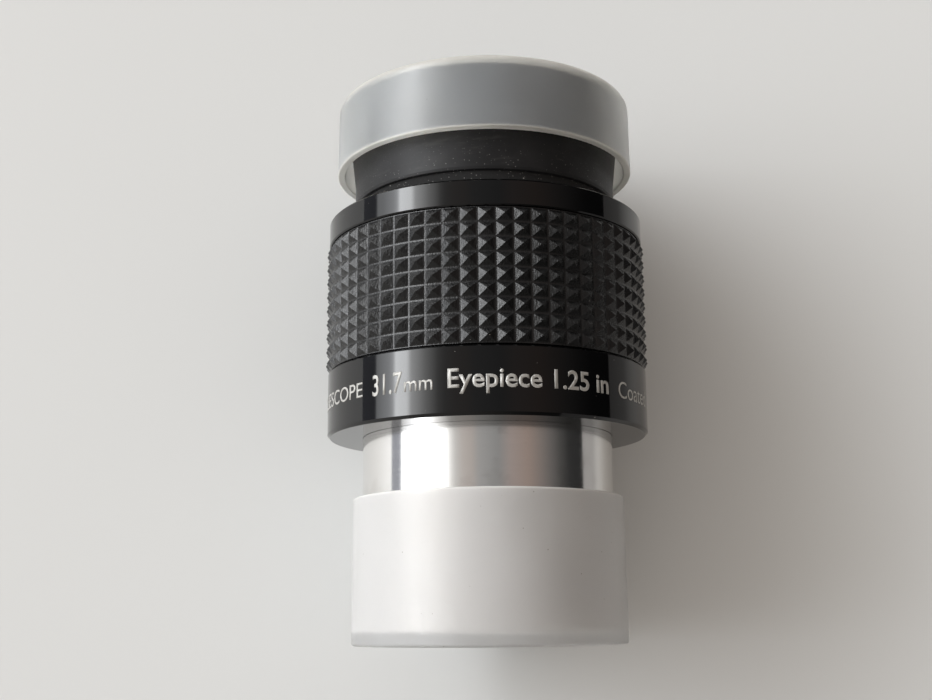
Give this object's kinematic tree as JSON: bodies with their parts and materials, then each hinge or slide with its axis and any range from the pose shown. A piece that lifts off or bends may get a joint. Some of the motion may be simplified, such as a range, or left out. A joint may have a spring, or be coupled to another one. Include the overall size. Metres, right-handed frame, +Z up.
{
  "type": "telescope eyepiece",
  "caption": "Telescope eyepiece with a bright push-in barrel, banded black body, diamond rubber grip, rubber eyecup and two pull-off dust caps.",
  "frame": {"origin": "on the optical axis at the shoulder that seats on the focuser, where the barrel's bright wall begins", "axes": "+Y along the optical axis towards the eye, -Y the way the barrel enters the focuser, +Z up as it lies on its grip, +X to the right of a viewer who faces +Y"},
  "size_m": [0.0414, 0.07, 0.0414],
  "materials": {
    "black_anodised": "gloss",
    "matte_black_metal": "matte",
    "bright_barrel": "polished",
    "grip_rubber": "satin",
    "eyecup_rubber": "matte",
    "seat_ring": "matte",
    "optical_glass": "gloss",
    "steel": "satin",
    "frosted_plastic": "satin",
    "milky_plastic": "satin"
  },
  "bodies": {
    "eyepiece": {"housing": "black_anodised", "grip_sleeve": "grip_rubber", "top_collar": "black_anodised", "eyecup_seat": "seat_ring", "eyecup": "eyecup_rubber", "lens_cell": "matte_black_metal", "field_flint": "optical_glass", "field_crown": "optical_glass", "spacer_lower": "matte_black_metal", "middle_lens": "optical_glass", "spacer_upper": "matte_black_metal", "eye_crown": "optical_glass", "eye_flint": "optical_glass", "eye_retainer": "matte_black_metal", "barrel": "bright_barrel", "field_stop": "matte_black_metal", "cell_screws": "steel", "field_retainer": "matte_black_metal"},
    "eye_cap_body": {"eye_cap": "frosted_plastic"},
    "barrel_cap_body": {"barrel_cap": "milky_plastic"}
  },
  "joints": [
    {"name": "eye_cap_pull", "type": "slide", "parent": "eyepiece", "child": "eye_cap_body", "axis": [0, 1, 0], "range_m": [0, 0.03]},
    {"name": "barrel_cap_pull", "type": "slide", "parent": "eyepiece", "child": "barrel_cap_body", "axis": [0, -1, 0], "range_m": [0, 0.06]}
  ]
}
